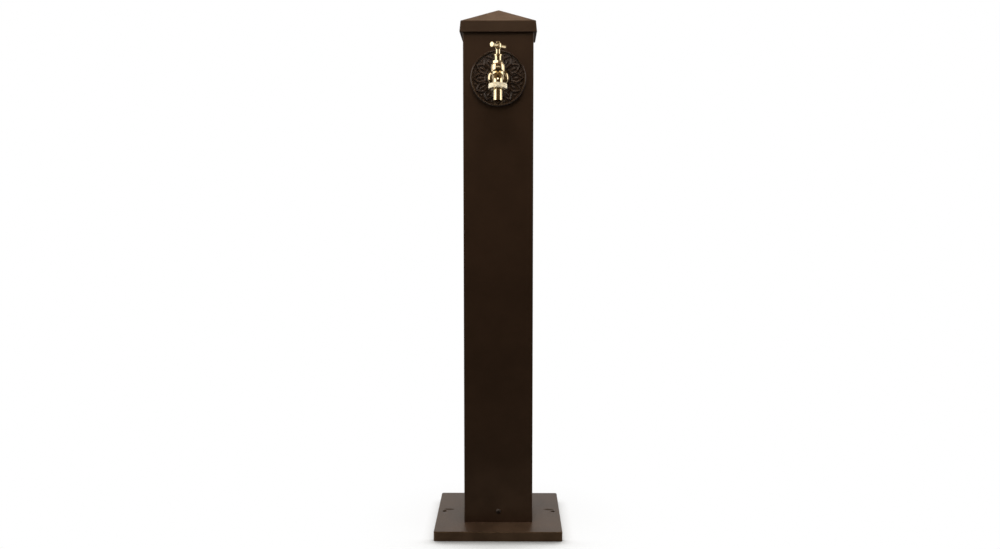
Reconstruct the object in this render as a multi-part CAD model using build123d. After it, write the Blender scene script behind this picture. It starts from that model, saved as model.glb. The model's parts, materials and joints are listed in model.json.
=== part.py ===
from build123d import *
import os
from math import cos, pi, radians, sin, tan

os.makedirs("parts", exist_ok=True)

# A garden water post: a square post on a cast foot, with a brass bib tap on an
# ornamental cast disc. The frame has its origin under the foot's centre, +Z up
# and the tap on the -Y side. Sizes are in millimetres and degrees.

# Cast foot, hollow underneath, and the square socket on it that the post slides over
base_side = 240.0
base_thickness = 18.0
base_corner_radius = 4.0
base_edge_radius = 1.5
base_skin = 6.0
base_wall = 7.0
rib_thickness = 5.0
anchor_edge_distance = 13.0
anchor_hole_diameter = 8.5
anchor_boss_diameter = 19.0
socket_height = 72.0
socket_wall = 6.0
socket_clearance = 0.4
socket_corner_radius = 5.0

# Square post
post_side = 130.0
post_wall = 3.0
post_length = 940.0
post_corner_radius = 1.8
post_inner_corner_radius = 1.2

# Button-head screws that hold the post to the socket, front and rear
post_screw_height = 21.5
post_screw_diameter = 5.0
post_screw_length = 9.0
post_screw_head_diameter = 9.5
post_screw_head_height = 2.75
post_screw_key = 3.0
post_screw_key_depth = 1.6
post_screw_flat = 0.3
post_screw_crown_run = 0.74
post_screw_crown_rise = 0.72
screw_hole_clearance = 0.25
screw_slot_width = 1.0
screw_slot_depth = 1.0
screw_edge = 0.6

# Cast cap
cap_edge_overhang = 6.15
cap_eave_overhang = 4.1
cap_skirt_height = 20.6
cap_rise = 29.6
cap_seat_depth = 2.3
cap_point_side = 3.0
cap_edge_bevel = 0.7
cap_post_clearance = 0.5
cap_hollow_inset = 6.0
cap_roof_thickness = 6.3
cap_lug_length = 16.0
cap_lug_depth = 14.0

# Where the tap sits
tap_below_post_top = 102.0
chamber_reach = 47.0

# Cast disc behind the tap
rosette_diameter = 102.0
rosette_height = 8.0
rosette_floor_height = 5.4
rosette_wall = 2.0
rosette_rim_width = 3.8
rosette_rim_bevel = 1.3
rosette_hub_diameter = 42.0
rosette_hub_height = 7.2
rosette_hub_wall = 2.2
petal_count = 12
petal_root_radius = 22.4
petal_shoulder_radius = 33.5
petal_tip_radius = 46.4
petal_gap = 1.0
petal_ridge_width = 1.5
petal_ridge_height = 2.1
petal_ridge_taper = 14.0
petal_floor_height = 0.4
petal_side_curve = 1.7
petal_tip_inset = 1.6
bud_root_radius = 25.0
bud_tip_radius = 38.5
petal_side_steps = 3
bud_width = 5.0
bud_height = 1.7
bud_slope = 1.6
bud_steps = 4
bud_root_share = 0.5
bud_root_inset = 2.0
bead_sides = 8
bead_diameter = 3.8
bead_height = 1.3
bead_taper = 35.0
bead_ring_radius = 43.2
rosette_step_run = 0.6

# Domed brass cover plate
flange_diameter = 39.0
flange_height = 6.8
flange_edge = 1.2
flange_wall = 2.0
flange_dome_run = 0.72
flange_dome_rise = 0.7
flange_seat_diameter = 27.0

# Tap body
shank_diameter = 20.95
shank_length = 22.0
shank_bore = 12.0
body_hex = 25.0
body_hex_length = 7.0
barrel_diameter = 22.0
chamber_diameter = 26.0
chamber_waist_diameter = 22.4
chamber_bottom = 14.0
chamber_waist_height = 6.0
chamber_top = 20.0
chamber_bore = 17.8
seat_height = 6.0
seat_floor_height = 3.0
chamber_edge = 0.6
chamber_mouth_bevel = 0.8
chamber_bowl_share = 0.3
chamber_bowl_run = 0.72
chamber_bowl_rise = 0.76
seat_outer_diameter = 13.2
seat_bore = 9.0
inlet_drop = 2.5
spout_diameter = 18.4
spout_level = 3.0
spout_bend_radius = 11.0
outlet_reach = 23.0
outlet_drop = 16.8
outlet_tilt = 7.0
outlet_bore = 7.0
outlet_bore_rise = 1.8
outlet_bore_overlap = 0.3
outlet_bore_offset = 2.2
outlet_bore_drop = 2.9
outlet_bore_overrun = 1.0
outlet_thread_diameter = 26.44
outlet_thread_start = 0.5

# Headgear
bonnet_skirt_depth = 7.5
bonnet_thread_start = 2.4
seal_thickness = 0.8
bonnet_flange_diameter = 21.0
bonnet_flange_thickness = 1.2
bonnet_hex = 17.0
bonnet_hex_height = 4.5
bonnet_neck_diameter = 12.4
bonnet_neck_height = 8.1
bonnet_throat_height = 2.0
packing_box_diameter = 10.7
packing_height = 4.6
gland_flange_diameter = 15.0
gland_flange_height = 3.5
gland_skirt_length = 1.4
gland_slot = 1.6
gland_low_bevel = 0.6
gland_high_bevel = 0.9

# Spindle, valve disc and handle
spindle_diameter = 8.2
spindle_thread_diameter = 9.6
spindle_thread_length = 8.9
spindle_socket_depth = 7.5
spindle_length = 34.4
spindle_square = 5.6
spindle_square_length = 7.5
valve_travel = 5.0
jumper_diameter = 12.4
jumper_plate_height = 2.2
jumper_stem_diameter = 4.8
jumper_stem_length = 7.2
jumper_stud_diameter = 3.0
jumper_washer_overhang = 0.1
jumper_washer_height = 3.2
jumper_nut_size = 5.5
jumper_nut_height = 2.4
handle_hub_diameter = 12.8
handle_hub_height = 8.9
handle_flare_height = 3.0
handle_crown_diameter = 10.0
handle_crown_height = 1.9
handle_flare_step = 0.2
handle_flare_run = 0.3
handle_flare_rise = 0.68
handle_length = 39.0
handle_arm_height = 7.1
handle_arm_root_diameter = 7.2
handle_arm_end_diameter = 9.6
handle_arm_bevel = 0.9
handle_angle = 57.0
handle_screw_diameter = 4.0
handle_screw_head_diameter = 8.0
handle_screw_head_height = 2.9
handle_screw_reach = 6.5
handle_screw_side_share = 0.25
handle_screw_dome_run = 0.7
handle_screw_dome_rise = 0.8

# Hose union
hose_nut_diameter = 33.2
hose_nut_height = 9.2
hose_nut_shoulder = 1.7
hose_nut_edge = 0.6
tail_flange_thickness = 1.6
tail_flange_gap = 0.3
hose_washer_thickness = 1.6
tail_diameter = 16.2
tail_neck_diameter = 14.8
tail_neck_length = 3.2
tail_bore = 11.0
tail_length = 24.0
barb_count = 4
barb_land = 1.6
barb_depth = 0.45

# Wall-plate elbow and the pipe run inside the post
elbow_boss_diameter = 26.0
elbow_boss_recess = 0.7
elbow_thread_depth = 15.0
elbow_plate_length = 60.0
elbow_plate_width = 30.0
elbow_plate_corner_radius = 14.0
elbow_plate_thickness = 4.0
elbow_leg_diameter = 22.0
elbow_leg_length = 26.0
elbow_bore = 12.0
elbow_screw_spacing = 44.0
elbow_screw_diameter = 5.0
elbow_screw_head_diameter = 9.0
elbow_screw_head_height = 2.6
pipe_inset = 24.0
pipe_diameter = 15.0
pipe_wall = 1.0
pipe_socket_depth = 10.0
compression_thread_diameter = 21.0
compression_thread_length = 10.0
pipe_nut_size = 24.0
pipe_nut_height = 17.0
pipe_nut_lip = 2.2
pipe_nut_overlap = 9.0
olive_height = 4.6
olive_diameter = 18.4
olive_bevel = 1.0
coupling_bottom = 24.0
coupling_hex = 27.0
coupling_hex_height = 18.0
coupling_thread_bore = 18.6
coupling_thread_depth = 14.0
coupling_collar_height = 4.0
coupling_collar_diameter = 19.0
clip_height = 12.0
clip_thickness = 1.6
clip_foot_length = 16.0
clip_above_plate = 58.0
clip_screw_diameter = 4.0
clip_screw_length = 5.0
clip_screw_head_diameter = 7.0
clip_screw_head_height = 2.4

# Share of a hexagon's corner that is turned off at its ends
corner_bevel = 0.6

# Clearances between pieces that fit together
thread_clearance = 0.05
running_clearance = 0.05
rest_gap = 0.3
fit_gap = 0.1
bore_clearance = 0.4

# Sizes and places worked out from the sizes above
anchor_spacing = base_side - 2 * anchor_edge_distance
cap_edge_side = post_side + 2 * cap_edge_overhang
cap_eave_side = post_side + 2 * cap_eave_overhang
cap_hollow_side = post_side - 2 * cap_hollow_inset
jumper_washer_diameter = jumper_diameter + 2 * jumper_washer_overhang
bonnet_skirt_bore = jumper_washer_diameter + 2 * rest_gap
socket_side = post_side - 2 * post_wall - 2 * socket_clearance
opening_side = socket_side - 2 * socket_wall
socket_top = base_thickness + socket_height
post_top = base_thickness + post_length
post_face = post_side / 2
post_inner_face = post_face - post_wall
tap_height = post_top - tap_below_post_top
cap_eave = post_top + cap_seat_depth
cap_low = cap_eave - cap_skirt_height
cap_slope = 2 * cap_rise / (cap_eave_side - cap_point_side)
screw_level = base_thickness + post_screw_height
elbow_boss_front = rosette_hub_height - elbow_boss_recess
flange_front = rosette_hub_height + flange_height
barrel_start = flange_front + body_hex_length
spindle_y = -(post_face + chamber_reach)
pipe_y = -(post_inner_face - pipe_inset)
elbow_bottom = tap_height - elbow_leg_length
coupling_hex_top = coupling_bottom + coupling_hex_height
coupling_collar_top = coupling_hex_top + coupling_collar_height
coupling_top = coupling_collar_top + compression_thread_length
seat_top = chamber_top + seal_thickness
bonnet_hex_low = seat_top + bonnet_flange_thickness
bonnet_neck_low = bonnet_hex_low + bonnet_hex_height
bonnet_top = bonnet_neck_low + bonnet_neck_height
washer_low = seat_height + rest_gap
jumper_low = washer_low + jumper_washer_height + running_clearance
spindle_low = jumper_low + jumper_plate_height + rest_gap
spindle_shoulder = spindle_low + spindle_thread_length
spindle_square_low = spindle_low + spindle_length
spindle_top = spindle_square_low + spindle_square_length
handle_low = spindle_square_low + fit_gap
handle_hub_top = handle_low + handle_flare_height + handle_hub_height - handle_crown_height
handle_top = handle_hub_top + handle_crown_height
arm_level = handle_low + handle_arm_height
shoulder_depth = hose_nut_height - hose_nut_shoulder
tail_flange_low = shoulder_depth - tail_flange_gap
tail_flange_top = tail_flange_low - tail_flange_thickness
hose_washer_top = tail_flange_top - running_clearance - hose_washer_thickness
outlet_end = hose_washer_top - rest_gap
tail_bottom = tail_flange_top + tail_length
clip_middle = base_thickness + clip_above_plate
clip_screw_offset = pipe_diameter / 2 + fit_gap + clip_thickness + clip_foot_length / 2

# Frames: outwards from the post's front face, up the spindle, and up the outlet
front = Location(Plane((0, -post_face, tap_height), x_dir=(1, 0, 0), z_dir=(0, -1, 0)))
valve = Pos(0, spindle_y, tap_height)
outlet = Pos(0, spindle_y - outlet_reach, tap_height - outlet_drop) * Rot(-outlet_tilt, 0, 0)


# Shapes used by many pieces
def disc(diameter, low, high):
    """Upright cylinder between two heights."""
    return Pos(0, 0, low) * extrude(Circle(diameter / 2), high - low)


def ring(outer, inner, low, high):
    """Upright ring between two heights."""
    return disc(outer, low, high) - disc(inner, low, high)


def hexagon(size, low, high):
    """Upright hexagonal prism, its size measured across two flats that face +X and -X."""
    outline = Rot(0, 0, 30) * RegularPolygon(size / 2, 6, major_radius=False)
    return Pos(0, 0, low) * extrude(outline, high - low)


def chamfered_hexagon(size, low, high):
    """Hexagonal prism with its corners turned off at both ends, as spanner faces are."""
    corner = size / 2 / cos(radians(30))
    bevel = (corner - size / 2) * corner_bevel
    drop = bevel * corner_bevel
    cone = [
        (0, low),
        (corner - bevel, low),
        (corner, low + drop),
        (corner, high - drop),
        (corner - bevel, high),
        (0, high),
    ]
    return hexagon(size, low, high) & turned(cone)


def turned(points):
    """Solid turned about Z from (radius, height) points."""
    return revolve(Plane.XZ * Polygon(*points, align=None), Axis.Z)


def turned_outline(*edges):
    """Solid turned about Z from the edges of a closed half section."""
    return revolve(Plane.XZ * make_face(Curve() + list(edges)), Axis.Z)


def square_prism(side, corner, low, high):
    """Upright square prism with rounded corners."""
    return Pos(0, 0, low) * extrude(RectangleRounded(side, side, corner), high - low)


def along_y(diameter, x, z, start, end):
    """Cylinder along Y from start to end."""
    return Pos(x, end, z) * Rot(90, 0, 0) * disc(diameter, 0, end - start)


def both_sides(make):
    """The same piece made at +1 and at -1."""
    return [make(1), make(-1)]


def slotted_screw(diameter, length, head_diameter, head_height):
    """Cheese-head screw with a bevelled head whose seat is at height 0."""
    head = disc(head_diameter, 0, head_height)
    head = chamfer(head.edges().group_by(Axis.Z)[-1], screw_edge)
    head -= Pos(0, 0, head_height) * Box(head_diameter, screw_slot_width, 2 * screw_slot_depth)
    return head + disc(diameter, -length, 0)


# Foot
def base_hollow():
    """Space under the plate, less the ribs, the ring under the socket and the anchor bosses."""
    inner = base_side - 2 * base_wall
    depth = base_thickness - base_skin
    hollow = square_prism(inner, base_corner_radius, 0, depth)
    rib_line = (opening_side + socket_wall) / 2
    for offset in (-rib_line, 0, rib_line):
        hollow -= Pos(offset, 0, 0) * Box(rib_thickness, inner, 2 * depth)
        hollow -= Pos(0, offset, 0) * Box(inner, rib_thickness, 2 * depth)
    hollow -= square_prism(socket_side, socket_corner_radius, 0, depth)
    for side in (-1, 1):
        hollow -= Pos(side * anchor_spacing / 2, 0, 0) * disc(anchor_boss_diameter, 0, depth)
    return hollow


def base_plate():
    plate = square_prism(base_side, base_corner_radius, 0, base_thickness)
    plate = fillet(plate.edges().group_by(Axis.Z)[-1], base_edge_radius)
    plate -= base_hollow()
    plate -= square_prism(opening_side, socket_corner_radius / 2, 0, base_thickness)
    for side in (-1, 1):
        plate -= Pos(side * anchor_spacing / 2, 0, 0) * disc(anchor_hole_diameter, 0, base_thickness)
    return plate


def post_socket():
    """Short square tube, fixed on the plate round its opening, with tapped holes in its walls."""
    socket = square_prism(socket_side, socket_corner_radius, base_thickness, socket_top)
    socket -= square_prism(opening_side, socket_corner_radius / 2, base_thickness, socket_top)
    tapped = post_screw_diameter + 2 * thread_clearance
    socket -= along_y(tapped, 0, screw_level, -post_side, post_side)
    clip_tapped = clip_screw_diameter + 2 * thread_clearance
    for side in (-1, 1):
        x = side * clip_screw_offset
        socket -= along_y(clip_tapped, x, clip_middle, -opening_side / 2 - clip_screw_length - fit_gap, 0)
    return socket


# Post
def post_tube():
    tube = square_prism(post_side, post_corner_radius, base_thickness, post_top)
    inner = post_side - 2 * post_wall
    tube -= square_prism(inner, post_inner_corner_radius, base_thickness, post_top)
    tube -= along_y(elbow_boss_diameter + 2 * bore_clearance, 0, tap_height, -post_side, 0)
    hole = post_screw_diameter + 2 * screw_hole_clearance
    tube -= along_y(hole, 0, screw_level, -post_side, post_side)
    elbow_hole = elbow_screw_diameter + 2 * screw_hole_clearance
    for side in (-1, 1):
        tube -= along_y(elbow_hole, side * elbow_screw_spacing / 2, tap_height, -post_side, 0)
    return tube


def button_screw():
    """Button-head screw with a hexagonal key hole: the head's seat is at height 0."""
    edge = post_screw_head_diameter / 2
    high = post_screw_head_height
    flat = edge * post_screw_flat
    crown = (edge * post_screw_crown_run, high * post_screw_crown_rise)
    head = turned_outline(
        Line((0, 0), (edge, 0)),
        ThreePointArc((edge, 0), crown, (flat, high)),
        Line((flat, high), (0, high)),
        Line((0, high), (0, 0)),
    )
    screw = head + disc(post_screw_diameter, -post_screw_length, 0)
    return screw - hexagon(post_screw_key, high - post_screw_key_depth, high)


def post_screws():
    screw = button_screw()
    at_face = Pos(0, 0, screw_level) * Rot(90, 0, 0) * Pos(0, 0, post_face)
    return both_sides(lambda side: Rot(0, 0, 90 - 90 * side) * at_face * screw)


# Cap
def frustum(low_side, high_side, low, high):
    """Square pyramid without its point, standing on its larger side."""
    start = (low_side - high_side) / 2
    end = low_side - start
    align = (Align.CENTER, Align.MIN, Align.CENTER)
    wedge = Wedge(low_side, high - low, low_side, start, start, end, end, align=align)
    return Pos(0, 0, low) * Rot(90, 0, 0) * wedge


def top_cap():
    cap = frustum(cap_edge_side, cap_eave_side, cap_low, cap_eave)
    cap += frustum(cap_eave_side, cap_point_side, cap_eave, cap_eave + cap_rise)
    cap = chamfer(cap.edges().filter_by(lambda e: e.length > cap_point_side * 2), cap_edge_bevel)
    cap -= square_prism(post_side + 2 * cap_post_clearance, post_corner_radius, cap_low, post_top)
    hollow_rise = cap_slope * (cap_hollow_side - cap_point_side) / 2
    hollow_low = cap_eave + cap_rise - hollow_rise - cap_roof_thickness
    cap -= square_prism(cap_hollow_side, post_corner_radius, cap_low, hollow_low)
    cap -= frustum(cap_hollow_side, cap_point_side, hollow_low, hollow_low + hollow_rise)
    lug_reach = post_inner_face - cap_post_clearance
    lug_middle = lug_reach - cap_lug_length / 2
    lug_corner = 2 * post_inner_corner_radius
    inside_post = square_prism(2 * lug_reach, lug_corner, cap_low - cap_lug_depth, cap_eave)
    for x in (-lug_middle, lug_middle):
        for y in (-lug_middle, lug_middle):
            lug = Pos(x, y, post_top) * Box(cap_lug_length, cap_lug_length, 2 * cap_lug_depth)
            cap += lug & inside_post
    return cap


# Rosette
def petal_outline(inset):
    """Pointed petal along +X, drawn in from its outer edge by inset."""
    half_angle = pi / petal_count
    root = petal_root_radius + inset
    shoulder = petal_shoulder_radius
    edge = petal_gap / 2 + inset
    shoulder_half = shoulder * tan(half_angle) - edge
    tip = petal_tip_radius - inset * petal_tip_inset
    side = [(root, root * tan(half_angle) - edge), (shoulder, shoulder_half)]
    for n in range(1, petal_side_steps):
        along = n / petal_side_steps
        half = shoulder_half * (1 - along**petal_side_curve)
        side.append((shoulder + (tip - shoulder) * along, half))
    mirrored = [(x, -y) for x, y in reversed(side)]
    return Polygon(*side, (tip, 0), *mirrored, align=None)


def petal():
    """Raised outline of one petal with a bud inside it, on the disc's floor."""
    floor = rosette_floor_height
    outside = Pos(0, 0, floor) * extrude(petal_outline(0), petal_ridge_height, taper=petal_ridge_taper)
    depth = petal_ridge_height - petal_floor_height
    inset = petal_ridge_width + depth * tan(radians(petal_ridge_taper))
    dish = extrude(petal_outline(inset), depth, taper=-petal_ridge_taper)
    return outside - Pos(0, 0, floor + petal_floor_height) * dish + bud()


def bud_outline(inset):
    """Teardrop along +X, drawn in from its edge by inset."""
    root = bud_root_radius + inset * bud_root_inset
    length = bud_tip_radius - inset - root
    side = []
    for n in range(1, bud_steps + 1):
        turn = pi * n / (bud_steps + 1)
        along = (1 - cos(turn)) / 2
        half = (bud_width / 2 - inset) * sin(turn) * (bud_root_share + (1 - bud_root_share) * along)
        side.append((root + length * along, half))
    mirrored = [(x, -y) for x, y in reversed(side)]
    return Polygon((root, 0), *side, (root + length, 0), *mirrored, align=None)


def bud():
    """Teardrop on the petal's floor, its sides sloping to a narrow crest."""
    low = rosette_floor_height
    high = low + petal_floor_height + bud_height
    crest = Pos(0, 0, high) * bud_outline(bud_slope)
    return loft([Pos(0, 0, low) * bud_outline(0), crest], ruled=True)


def bead():
    """Small pointed boss between two petals' tips."""
    outline = RegularPolygon(bead_diameter / 2, bead_sides)
    place = Rot(0, 0, 180 / petal_count) * Pos(bead_ring_radius, 0, rosette_floor_height)
    return place * extrude(outline, bead_height, taper=bead_taper)


def rosette_disc():
    """Turned blank: rim, dished floor and hub, hollow behind."""
    edge = rosette_diameter / 2
    rim_inner = edge - rosette_rim_width
    hub = rosette_hub_diameter / 2
    floor = rosette_floor_height
    blank = turned(
        [
            (0, 0),
            (edge, 0),
            (edge, rosette_height - rosette_rim_bevel),
            (edge - rosette_rim_bevel, rosette_height),
            (rim_inner + rosette_rim_bevel, rosette_height),
            (rim_inner, floor),
            (hub + rosette_step_run, floor),
            (hub, rosette_hub_height),
            (0, rosette_hub_height),
        ]
    )
    boss_hole = elbow_boss_diameter + 2 * bore_clearance
    back = ring(2 * rim_inner, boss_hole + 2 * rosette_hub_wall, 0, floor - rosette_wall)
    return blank - back - disc(boss_hole, 0, rosette_height)


def rosette():
    step = 360 / petal_count
    raised = [Rot(0, 0, step * n) * (petal() + bead()) for n in range(petal_count)]
    return front * (rosette_disc() + raised)


# Brass cover plate
def wall_flange():
    edge = flange_diameter / 2
    seat = flange_seat_diameter / 2
    low = rosette_hub_height
    high = flange_front
    dome_low = low + flange_edge
    dome = (seat + (edge - seat) * flange_dome_run, dome_low + (high - dome_low) * flange_dome_rise)
    outside = turned_outline(
        Line((0, low), (edge, low)),
        Line((edge, low), (edge, dome_low)),
        ThreePointArc((edge, dome_low), dome, (seat, high)),
        Line((seat, high), (0, high)),
        Line((0, high), (0, low)),
    )
    cavity = turned(
        [
            (0, low),
            (edge - flange_wall, low),
            (seat, high - flange_wall),
            (0, high - flange_wall),
        ]
    )
    bore = disc(shank_diameter + 2 * bore_clearance, low, high)
    return front * (outside - cavity - bore)


# Tap body
def spout_path():
    """Centre line of the spout in the valve's frame, from the chamber to the outlet's end."""
    tilt = radians(outlet_tilt)
    corner_y = -outlet_reach + (outlet_drop - spout_level) * tan(tilt)
    end = (0, -outlet_reach - outlet_end * sin(tilt), -outlet_drop - outlet_end * cos(tilt))
    corner = (0, corner_y, -spout_level)
    return FilletPolyline((0, 0, -spout_level), corner, end, radius=spout_bend_radius)


def spout():
    path = spout_path()
    section = Plane(path @ 0, z_dir=path % 0) * Circle(spout_diameter / 2)
    return sweep(section, path=path)


def outlet_passage():
    """Water way from above the seat down the spout."""
    tilt = radians(outlet_tilt)
    end_depth = outlet_end + outlet_bore_overrun
    end = (0, -outlet_reach - end_depth * sin(tilt), -outlet_drop - end_depth * cos(tilt))
    start = (0, -chamber_bore / 2 + outlet_bore_overlap, seat_floor_height + outlet_bore_rise)
    corner = (0, -outlet_reach + outlet_bore_offset, -spout_level - outlet_bore_drop)
    path = FilletPolyline(start, corner, end, radius=outlet_bore)
    section = Plane(path @ 0, z_dir=path % 0) * Circle(outlet_bore / 2)
    return sweep(section, path=path)


def valve_chamber():
    """Upright bowl of the tap, with its domed bottom and its round collar."""
    waist = chamber_waist_diameter / 2
    waist_low = -chamber_bottom * chamber_bowl_share
    bowl = (waist * chamber_bowl_run, -chamber_bottom * chamber_bowl_rise)
    collar = chamber_diameter / 2
    rim = collar - chamber_edge
    rim_low = chamber_waist_height + rim - waist
    rim_high = chamber_top - chamber_mouth_bevel
    mouth = rim - chamber_mouth_bevel
    return turned_outline(
        ThreePointArc((0, -chamber_bottom), bowl, (waist, waist_low)),
        Line((waist, waist_low), (waist, chamber_waist_height)),
        Line((waist, chamber_waist_height), (rim, rim_low)),
        ThreePointArc((rim, rim_low), (collar, (rim_low + rim_high) / 2), (rim, rim_high)),
        Line((rim, rim_high), (mouth, chamber_top)),
        Line((mouth, chamber_top), (0, chamber_top)),
        Line((0, chamber_top), (0, -chamber_bottom)),
    )


def tap_body():
    shank_end = flange_front - shank_length
    shank = disc(shank_diameter, shank_end, flange_front)
    grip = chamfered_hexagon(body_hex, flange_front, barrel_start)
    barrel = disc(barrel_diameter, barrel_start, chamber_reach)
    body = front * (shank + grip + barrel)
    body += valve * (valve_chamber() + spout())
    body += outlet * disc(outlet_thread_diameter, -outlet_end, -outlet_thread_start)
    body -= front * disc(shank_bore, shank_end, chamber_reach - chamber_waist_diameter / 2)
    inlet = along_y(seat_bore, 0, -inlet_drop, 0, chamber_waist_diameter / 2)
    rise = disc(seat_bore, -inlet_drop, seat_height)
    top_bore = disc(chamber_bore, seat_floor_height, chamber_top)
    seat = ring(seat_outer_diameter, seat_bore, seat_floor_height, seat_height)
    return body - valve * (inlet + rise + (top_bore - seat) + outlet_passage())


# Headgear
def bonnet_seal():
    return valve * ring(bonnet_flange_diameter, chamber_bore + 2 * fit_gap, chamber_top, seat_top)


def bonnet():
    skirt_low = seat_top - bonnet_skirt_depth
    thread_low = seat_top - bonnet_thread_start
    throat_low = spindle_shoulder + valve_travel + rest_gap
    box_low = throat_low + bonnet_throat_height
    solid = disc(chamber_bore - 2 * thread_clearance, skirt_low, seat_top)
    solid += disc(bonnet_flange_diameter, seat_top, bonnet_hex_low)
    solid += chamfered_hexagon(bonnet_hex, bonnet_hex_low, bonnet_neck_low)
    solid += disc(bonnet_neck_diameter, bonnet_neck_low, bonnet_top)
    solid -= disc(bonnet_skirt_bore, skirt_low, thread_low)
    solid -= disc(spindle_thread_diameter + 2 * running_clearance, thread_low, throat_low)
    solid -= disc(spindle_diameter + 2 * running_clearance, throat_low, box_low)
    solid -= disc(packing_box_diameter, box_low, bonnet_top)
    return valve * solid


def gland_packing():
    box_low = spindle_shoulder + valve_travel + rest_gap + bonnet_throat_height
    inner = spindle_diameter + 2 * running_clearance
    return valve * ring(packing_box_diameter - 2 * fit_gap, inner, box_low, box_low + packing_height)


def gland_nut():
    outer = packing_box_diameter - 2 * thread_clearance
    inner = spindle_diameter + 2 * running_clearance
    high = bonnet_top + gland_flange_height
    edge = gland_flange_diameter / 2
    solid = disc(outer, bonnet_top - gland_skirt_length, bonnet_top)
    solid += turned(
        [
            (0, bonnet_top),
            (edge - gland_low_bevel, bonnet_top),
            (edge, bonnet_top + gland_low_bevel),
            (edge, high - gland_high_bevel),
            (edge - gland_high_bevel, high),
            (0, high),
        ]
    )
    solid -= disc(inner, bonnet_top - gland_skirt_length, high)
    solid -= Pos(0, 0, high) * Box(2 * edge, gland_slot, gland_slot)
    return valve * solid


# Valve disc
def jumper():
    plate = disc(jumper_diameter, jumper_low, jumper_low + jumper_plate_height)
    stem_low = jumper_low + jumper_plate_height
    stem = disc(jumper_stem_diameter, stem_low, stem_low + jumper_stem_length)
    stud_low = washer_low - running_clearance - jumper_nut_height - fit_gap
    stud = disc(jumper_stud_diameter, stud_low, jumper_low)
    return valve * (plate + stem + stud)


def jumper_washer():
    inner = jumper_stud_diameter + 2 * fit_gap
    return valve * ring(jumper_washer_diameter, inner, washer_low, washer_low + jumper_washer_height)


def jumper_nut():
    high = washer_low - running_clearance
    nut = hexagon(jumper_nut_size, high - jumper_nut_height, high)
    return valve * (nut - disc(jumper_stud_diameter + 2 * thread_clearance, 0, high))


# Spindle and handle
def spindle():
    rod = disc(spindle_thread_diameter, spindle_low, spindle_shoulder)
    rod += disc(spindle_diameter, spindle_shoulder, spindle_square_low)
    rod += Rot(0, 0, handle_angle) * Pos(0, 0, spindle_square_low) * Box(
        spindle_square,
        spindle_square,
        spindle_square_length,
        align=(Align.CENTER, Align.CENTER, Align.MIN),
    )
    socket = jumper_stem_diameter + 2 * running_clearance
    rod -= disc(socket, spindle_low, spindle_low + spindle_socket_depth)
    tapped = handle_screw_diameter + 2 * thread_clearance
    rod -= disc(tapped, spindle_top - handle_screw_reach - fit_gap, spindle_top)
    return valve * rod


def handle_arm():
    """One arm of the cross bar along +X, a little thicker at its bevelled end."""
    root = handle_arm_root_diameter / 2
    end = handle_arm_end_diameter / 2
    tip = handle_length / 2
    outline = Polygon(
        (0, 0),
        (0, root),
        (tip - handle_arm_bevel, end),
        (tip, end - handle_arm_bevel),
        (tip, 0),
        align=None,
    )
    return Pos(0, 0, arm_level) * revolve(outline, Axis.X)


def handle_hub():
    """Hub turned about the spindle's axis, flared below and crowned above."""
    neck = spindle_diameter / 2 + handle_flare_step
    side = handle_hub_diameter / 2
    flare_low = handle_low + handle_flare_height * handle_flare_rise
    return turned(
        [
            (0, handle_low),
            (neck, handle_low),
            (neck + (side - neck) * handle_flare_run, flare_low),
            (side, handle_low + handle_flare_height),
            (side, handle_hub_top),
            (handle_crown_diameter / 2, handle_top),
            (0, handle_top),
        ]
    )


def tee_handle():
    arms = handle_arm() + Rot(0, 0, 180) * handle_arm()
    solid = handle_hub() + arms
    square = spindle_square + 2 * fit_gap
    solid -= Pos(0, 0, handle_low) * Box(
        square,
        square,
        spindle_square_length,
        align=(Align.CENTER, Align.CENTER, Align.MIN),
    )
    solid -= disc(handle_screw_diameter + 2 * fit_gap, handle_low, handle_top)
    return valve * Rot(0, 0, handle_angle) * solid


def handle_screw():
    radius = handle_screw_head_diameter / 2
    high = handle_screw_head_height
    side = high * handle_screw_side_share
    dome = (radius * handle_screw_dome_run, high * handle_screw_dome_rise)
    head = turned_outline(
        Line((0, 0), (radius, 0)),
        Line((radius, 0), (radius, side)),
        ThreePointArc((radius, side), dome, (0, high)),
        Line((0, high), (0, 0)),
    )
    head -= Pos(0, 0, high) * Box(2 * radius, screw_slot_width, 2 * screw_slot_depth)
    shank = disc(handle_screw_diameter, spindle_top - handle_screw_reach - handle_top, 0)
    return valve * Pos(0, 0, handle_top) * Rot(0, 0, handle_angle) * (head + shank)


# Hose union, in the outlet's frame with the nut's upper face at height 0
def hose_nut():
    outer = hose_nut_diameter / 2
    inner = outlet_thread_diameter / 2 + thread_clearance
    hole = tail_diameter / 2 + bore_clearance
    edge = hose_nut_edge
    solid = turned(
        [
            (hole, -hose_nut_height),
            (outer - edge, -hose_nut_height),
            (outer, -hose_nut_height + edge),
            (outer, -edge),
            (outer - edge, 0),
            (inner, 0),
            (inner, -shoulder_depth),
            (hole, -shoulder_depth),
        ]
    )
    return outlet * solid


def hose_washer():
    outer = outlet_thread_diameter - 2 * fit_gap
    low = -hose_washer_top - hose_washer_thickness
    return outlet * ring(outer, tail_bore + 2 * fit_gap, low, -hose_washer_top)


def tail_outline():
    """Half section of the tail: flange, neck, then barbs down to the end."""
    flange = outlet_thread_diameter / 2 - fit_gap
    neck = tail_neck_diameter / 2
    land = tail_diameter / 2
    root = land - barb_depth
    neck_end = hose_nut_height + tail_neck_length
    pitch = (tail_bottom - neck_end) / barb_count
    points = [
        (tail_bore / 2, -tail_flange_top),
        (flange, -tail_flange_top),
        (flange, -tail_flange_low),
        (neck, -tail_flange_low),
        (neck, -neck_end),
    ]
    for n in range(barb_count):
        top = neck_end + pitch * n
        points.append((land, -top))
        points.append((land, -top - barb_land))
        points.append((root, -top - pitch))
    points.append((tail_bore / 2, -tail_bottom))
    return points


def hose_tail():
    return outlet * turned(tail_outline())


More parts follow.
